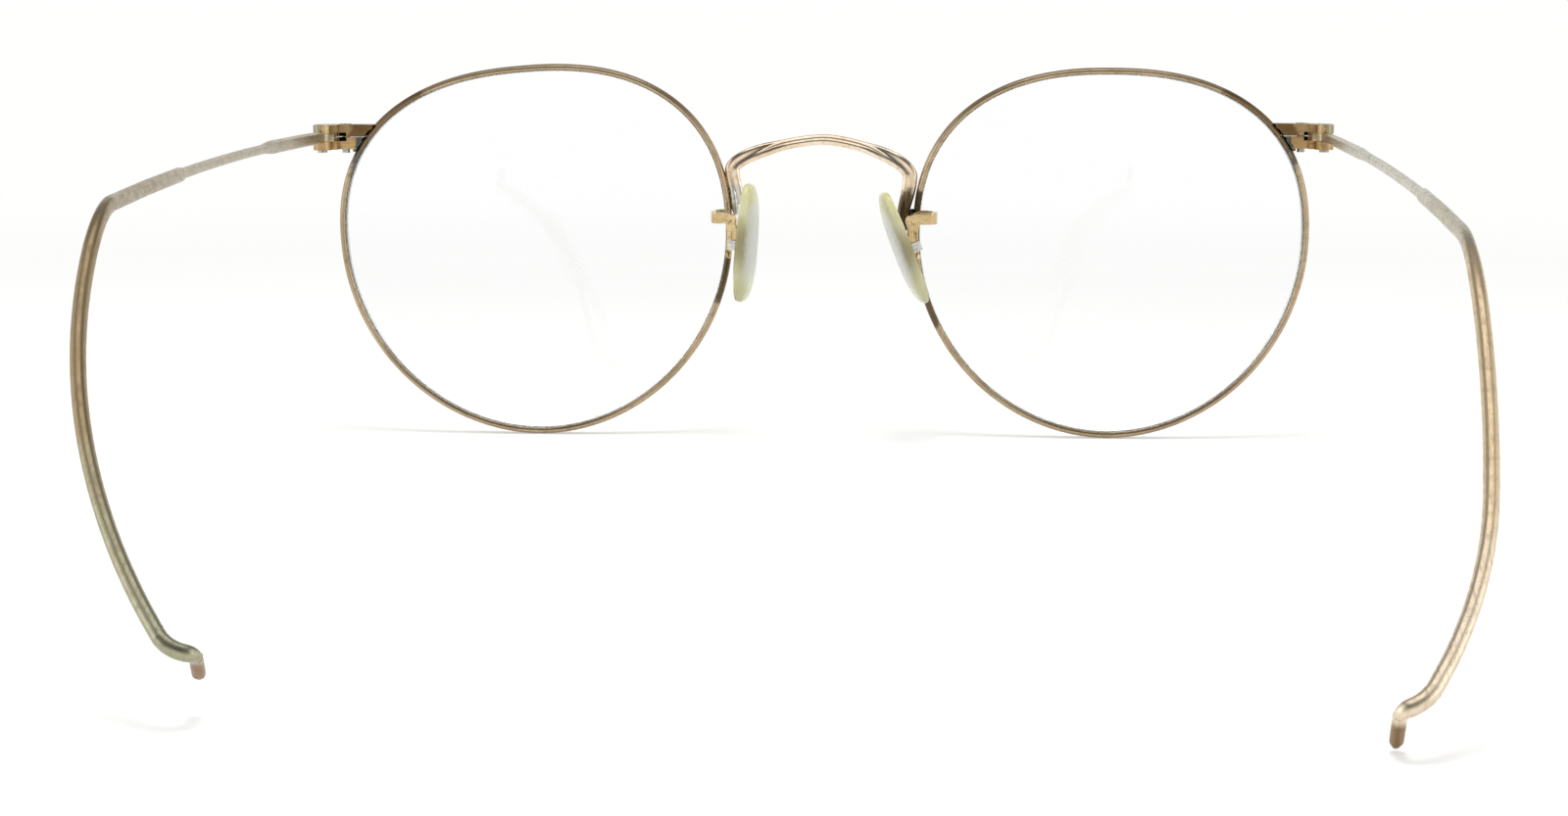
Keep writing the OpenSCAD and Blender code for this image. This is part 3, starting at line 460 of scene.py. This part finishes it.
def pad_plastic(side, sign):
    """Aged cream plastic, painted dark olive near the plate as the plate's shadow seen through it, and milky where it
    faces the nose, partly the plastic's own milky surface and partly a painted reflection.
    """
    f = Finish(side + "_pad_plastic", Roughness=0.2, IOR=1.49, Transmission_Weight=0.3, Coat_Weight=0.25,
               Coat_Roughness=0.05)
    cloud = f.noise(0.35)
    fine = f.noise(2.2, detail=4.0, rough=0.6, shift=(2, 2, 2))
    # A pad's face looks at the nose, turned 12 degrees towards the wearer
    to_nose = (-sign * 0.978, -0.208, 0)
    milk_and_reflection = f.add("ShaderNodeVectorMath", f.normal, to_nose, operation="DOT_PRODUCT").outputs["Value"]
    olive = f.mix(f.ramp(cloud, 0.3, 0.7), rgb(222, 218, 164), rgb(234, 232, 190))
    plate = middle(side + "_pad_plate")
    # Painted shadow: dark olive near the plate, standing in for the plate's shadow seen through the plastic
    colour = f.mix(f.near(plate, 2.4, 5.0), olive, rgb(142, 124, 68))
    ends = f.math("DIVIDE", f.math("ABSOLUTE", f.math("SUBTRACT", f.z, plate.z)), 7 * MM)
    face = f.math("SUBTRACT", f.math("ADD", milk_and_reflection, f.math("MULTIPLY", f.math("SUBTRACT", fine, 0.5), 0.25)),
                  f.math("MULTIPLY", f.ramp(ends, 0.45, 1.0), 0.6))
    # The side facing the nose turns milky grey-white: partly the plastic's own milky surface, partly a painted
    # reflection
    colour = f.mix(f.ramp(face, 0.72, 0.98, 0.0, 0.85), colour, rgb(234, 236, 224))
    f.bump(f.math("ADD", cloud, f.math("MULTIPLY", fine, 0.4)), strength=0.2, distance_mm=0.05)
    return f.set(Base_Color=colour)


def ground_edge():
    """The lens's edge, ground dull and white."""
    f = Finish("lens_edge", Roughness=0.5, IOR=1.5, Transmission_Weight=0.35)
    grit = f.noise(6.0)
    f.bump(grit, strength=0.3, distance_mm=0.02)
    return f.set(Base_Color=f.mix(grit, rgb(238, 240, 238), rgb(248, 249, 248)))


def lens_glass():
    """Clear glass that casts no shadow."""
    f = Finish("lens_glass", Roughness=0.0, IOR=1.5, Transmission_Weight=1.0, Specular_IOR_Level=0.25,
               Base_Color=rgb(253, 254, 254))
    clear = f.add("ShaderNodeBsdfTransparent")
    shade = f.add("ShaderNodeMixShader", f.add("ShaderNodeLightPath").outputs["Is Shadow Ray"],
                  f.shader.outputs[0], clear.outputs[0])
    f.tree.links.new(shade.outputs[0], f.output.inputs["Surface"])
    return f.material


def dress():
    """Puts its finish on every piece."""
    dark_solder = worn_metal("dark_solder", (SOLDER_GREY, rgb(108, 112, 104), rgb(60, 60, 54)), rough=(0.25, 0.45))
    silver_solder = worn_metal("silver_solder", (rgb(206, 206, 202), rgb(224, 224, 222), rgb(120, 116, 108)),
                               rough=(0.2, 0.4))
    burnt = worn_metal("burnt_solder", (BURNT_BROWN, rgb(84, 70, 46), rgb(40, 32, 20)), rough=(0.25, 0.4))
    for side, pin, sign in (("left", left_pin, -1), ("right", right_pin, 1)):
        rim_joint = mm(pin, sign * -5.2, -2.0, 0)
        low, high = (Vector(corner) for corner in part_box(side + "_endpiece_upper"))
        # The slot beside the hinge, painted near-black as its shade: how far its middle lies in from the pin, and half
        # its width, in mm
        slot_in, slot_half_w = (2.075, 0.425) if side == "left" else (1.875, 0.225)
        slot = (Vector((pin.x - sign * slot_in * MM, low.y + 2.985 * MM, low.z - 0.05 * MM)),
                Vector((slot_half_w + 0.015, 0.23, 0.51)) * MM)
        lug_end = Vector((pin.x + sign * 0.75 * MM, low.y + 0.5 * MM, high.z - 0.5 * MM))
        worn = Vector((pin.x - sign * 3.2 * MM, low.y + 1.4 * MM, high.z - 0.35 * MM))
        grey_x = (pin.x - sign * 3.45 * MM) / MM
        finishes = {
            "eyewire": rim_metal(side, pin, sign),
            # The upper half is painted darker brown where it meets the rim: partly stain, partly painted shade at the
            # junction
            "endpiece_upper": worn_metal(
                side + "_upper_gold", (rgb(170, 142, 100), rgb(200, 174, 132), rgb(92, 72, 44)),
                ((rim_joint, 1.5, 3.6, STAIN_AND_SHADE_BROWN, 0.85), (worn, 0.5, 1.5, rgb(226, 224, 212), 0.9),
                 (lug_end, 0.5, 1.2, rgb(136, 138, 116), 0.75)), wear=0.5, pocket=slot),
            "endpiece_lower": worn_metal(
                side + "_lower_gold", (rgb(176, 142, 98), rgb(204, 172, 126), rgb(90, 74, 42)),
                zones=(("x", grey_x, grey_x - sign * 0.3, SOLDER_GREY, 0.97),), wear=0.5, pocket=slot),
            "temple": temple_metal(side),
            "screw": worn_metal(side + "_screw_metal", (rgb(170, 166, 146), rgb(202, 198, 180), rgb(84, 84, 66)),
                                rough=(0.2, 0.4), wear=0.6),
            "pad_arm": worn_metal(side + "_arm_gold", (rgb(200, 172, 122), rgb(236, 214, 170), rgb(110, 84, 44)),
                                  rough=(0.06, 0.18), wear=0.45),
            "pad_plate": worn_metal(side + "_plate_metal", (rgb(206, 206, 200), rgb(226, 226, 220), rgb(120, 116, 102)),
                                    rough=(0.2, 0.4), wear=0.5),
            "pad": pad_plastic(side, sign),
            "lens": lens_glass(),
        }
        finishes["pad_pin"] = finishes["pad_plate"]
        for name, thing in things.items():
            if name.startswith(side):
                put_on(thing, longest_match(name, finishes))
        # A lens's second material is its ground edge
        put_on(things[side + "_lens"], ground_edge())
        put_on(solder[side + "_upper"], finishes["endpiece_upper"])
        put_on(solder[side + "_lower"], dark_solder)
        put_on(solder[side + "_foot"], finishes["pad_arm"])
    put_on(solder["left_web"], silver_solder)
    put_on(solder["right_web"], burnt)
    arch_middle = Vector((centre_x, 0, 26 * MM))
    put_on(things["bridge"], worn_metal(
        "bridge_gold", (rgb(230, 207, 180), rgb(242, 226, 204), rgb(156, 128, 94)),
        ((mm(middle("left_pad_arm"), 0.8, -3.6, 4.0), 1.0, 2.6, rgb(196, 194, 188), 0.8),
         (mm(middle("right_pad_arm"), -0.8, -3.6, 1.4), 1.6, 6.0, BURNT_BROWN, 0.9)),
        rough=(0.12, 0.24), place=arch_middle, wear=0.25))


def temple_metal(side):
    """The bar is satin champagne gold, the slender middle worn pale, the ear wire polished."""
    if side == "left":
        bar = rgb(172, 158, 130), rgb(190, 178, 152), rgb(118, 102, 76)
        zones = (("y", 52, 40, rgb(176, 166, 142), 0.8), ("y", -4, -20, rgb(158, 142, 112), 0.9),
                 ("y", -34, -44, rgb(160, 140, 108), 0.9), ("z", 22, 8, rgb(168, 167, 142), 0.95),
                 ("z", 4.7, 4.0, rgb(138, 98, 64), 0.9))
    else:
        bar = rgb(180, 162, 132), rgb(196, 180, 150), rgb(122, 104, 76)
        zones = (("y", 54, 46, rgb(206, 202, 186), 0.85), ("y", -4, -20, rgb(182, 172, 144), 0.9),
                 ("y", -34, -44, rgb(224, 200, 164), 0.9), ("z", 20, 8, rgb(230, 214, 190), 0.95),
                 ("z", 3.0, 2.2, rgb(124, 92, 50), 0.9))
    return worn_metal(side + "_temple_gold", bar, rough=(0.26, 0.4), stretch=(1, 0.12, 0.25), zones=zones, wear=0.2)


def put_on(thing, material):
    """A CAD node's own slots all take the material, and a form or bead gets one more slot for it."""
    if thing in nodes.values():
        for held in thing.material_slots:
            held.material = material
    else:
        thing.data.materials.append(material)


# ---------------------------------------------------------------- floor, backdrop and light
def add_light(name, size, place, aim, power, mirrored=True):
    """A lamp with a size in metres at a place, aimed at a point. Only a mirrored one shows in the metal."""
    data = bpy.data.lights.new(name, "AREA")
    data.shape = "RECTANGLE"
    data.size, data.size_y = size
    data.energy = power
    lamp = add_object(name, data)
    lamp.location = place
    lamp.rotation_euler = (Vector(aim) - Vector(place)).to_track_quat("-Z", "Y").to_euler()
    lamp.visible_camera = False
    lamp.visible_glossy = mirrored


def add_floor():
    """White paper. It glows as seen by the camera, in mirrors and through glass, and takes light near the object."""
    mesh = bpy.data.meshes.new("floor")
    half = 3.0
    mesh.from_pydata([(-half, -half, 0), (half, -half, 0), (half, half, 0), (-half, half, 0)], [], [(0, 1, 2, 3)])
    add_object("floor", mesh)
    f = Finish("floor_paper", Roughness=0.8)
    fibre = f.noise(0.9, detail=4.0, rough=0.6)
    f.set(Base_Color=f.mix(fibre, rgb(232, 232, 231), rgb(236, 236, 234)), Specular_IOR_Level=0.05)
    paths = f.add("ShaderNodeLightPath").outputs
    seen = f.math("MAXIMUM", f.math("MAXIMUM", paths["Is Camera Ray"], paths["Is Glossy Ray"]),
                  paths["Is Transmission Ray"])
    # Near the object the paper takes most of its light from the lamps, and so keeps the shadow
    away = f.add("ShaderNodeVectorMath", f.place, operation="LENGTH").outputs["Value"]
    far = f.ramp(away, 0.14, 0.5)
    own_light = f.ramp(far, 0.0, 1.0, out_low=0.38, out_high=1.0)
    glow = f.add("ShaderNodeEmission", rgb(255, 255, 254), f.math("MULTIPLY", seen, own_light))
    dark = f.add("ShaderNodeEmission", None, 0.0)
    unlit = f.ramp(far, 0.0, 1.0, out_low=0.35, out_high=1.0)
    lit = f.add("ShaderNodeMixShader", unlit, f.shader.outputs[0], dark.outputs[0])
    both = f.add("ShaderNodeAddShader", lit.outputs[0], glow.outputs[0])
    f.tree.links.new(both.outputs[0], f.output.inputs["Surface"])
    mesh.materials.append(f.material)


def add_world():
    """A white tent. Metal mirrors a darker place behind the camera and a bright panel overhead."""
    world = bpy.data.worlds.new("studio")
    bpy.context.scene.world = world
    world.use_nodes = True
    f = Nodes(world.node_tree)
    background = next(n for n in f.tree.nodes if n.type == "BACKGROUND")
    across, ahead, up = f.add("ShaderNodeSeparateXYZ", f.add("ShaderNodeTexCoord").outputs["Generated"]).outputs
    sides = f.ramp(up, 0.3, 0.6, 1.0, 0.36)
    panel = f.math("MULTIPLY", f.ramp(up, 0.9, 0.96), f.ramp(f.math("ABSOLUTE", across), 0.3, 0.45, 1.0, 0.0))
    tent = f.math("ADD", sides, f.math("MULTIPLY", panel, 1.1))
    flat = f.math("SQRT", f.math("ADD", f.math("MULTIPLY", across, across), f.math("MULTIPLY", ahead, ahead)))
    facing = f.math("DIVIDE", ahead, flat)
    # Behind the camera, from just below the horizon to the panel, the tent is darker, and more so higher up
    band = f.math("MULTIPLY", f.ramp(up, -0.06, 0.04), f.ramp(up, 0.88, 0.93, 1.0, 0.0))
    behind = f.math("MULTIPLY", f.ramp(facing, -0.85, -0.5, 1.0, 0.0), band)
    darker = f.math("MULTIPLY", behind, f.ramp(up, 0.1, 0.4, 0.35, 0.6))
    level = f.math("MULTIPLY", tent, f.math("SUBTRACT", 1.0, darker))
    # Mirrors see the tent, surfaces are lit by an even 0.8, and camera and glass see plain white
    paths = f.add("ShaderNodeLightPath").outputs
    mirrored = f.add("ShaderNodeMix", paths["Is Glossy Ray"], None, 0.8, level)
    seen = f.math("MAXIMUM", paths["Is Camera Ray"], paths["Is Transmission Ray"])
    shown = f.add("ShaderNodeMix", seen, None, mirrored.outputs[0], 1.0)
    f.tree.links.new(shown.outputs[0], background.inputs["Strength"])
    background.inputs["Color"].default_value = (1.0, 1.0, 0.995, 1.0)


def add_stage():
    add_floor()
    add_world()
    add_light("overhead", (0.16, 0.16), (0.0, 0.0, 0.45), (0, 0, 0), 1.0, mirrored=False)
    add_light("left_wall", (0.4, 0.5), (-0.42, -0.12, 0.2), (0, 0, 0.02), 0.5)
    add_light("right_wall", (0.4, 0.5), (0.42, -0.12, 0.2), (0, 0, 0.02), 0.5)
    bpy.context.scene.view_settings.view_transform = "Standard"


add_camera()
add_stage()
for side, pin in (("left", left_pin), ("right", right_pin)):
    things[side + "_eyewire"] = refine(side + "_eyewire", crease=65)
    things[side + "_lens"] = refine_lens(side + "_lens")
    things[side + "_temple"] = refine(side + "_temple", crease=70, keep=(pin, 3.2), step=1.6)
    things[side + "_pad"] = refine(side + "_pad", crease=75, pole=0.045)
    things[side + "_pad_arm"] = refine(side + "_pad_arm", crease=75)
things["bridge"] = refine("bridge", crease=75)
add_solder()
dress()
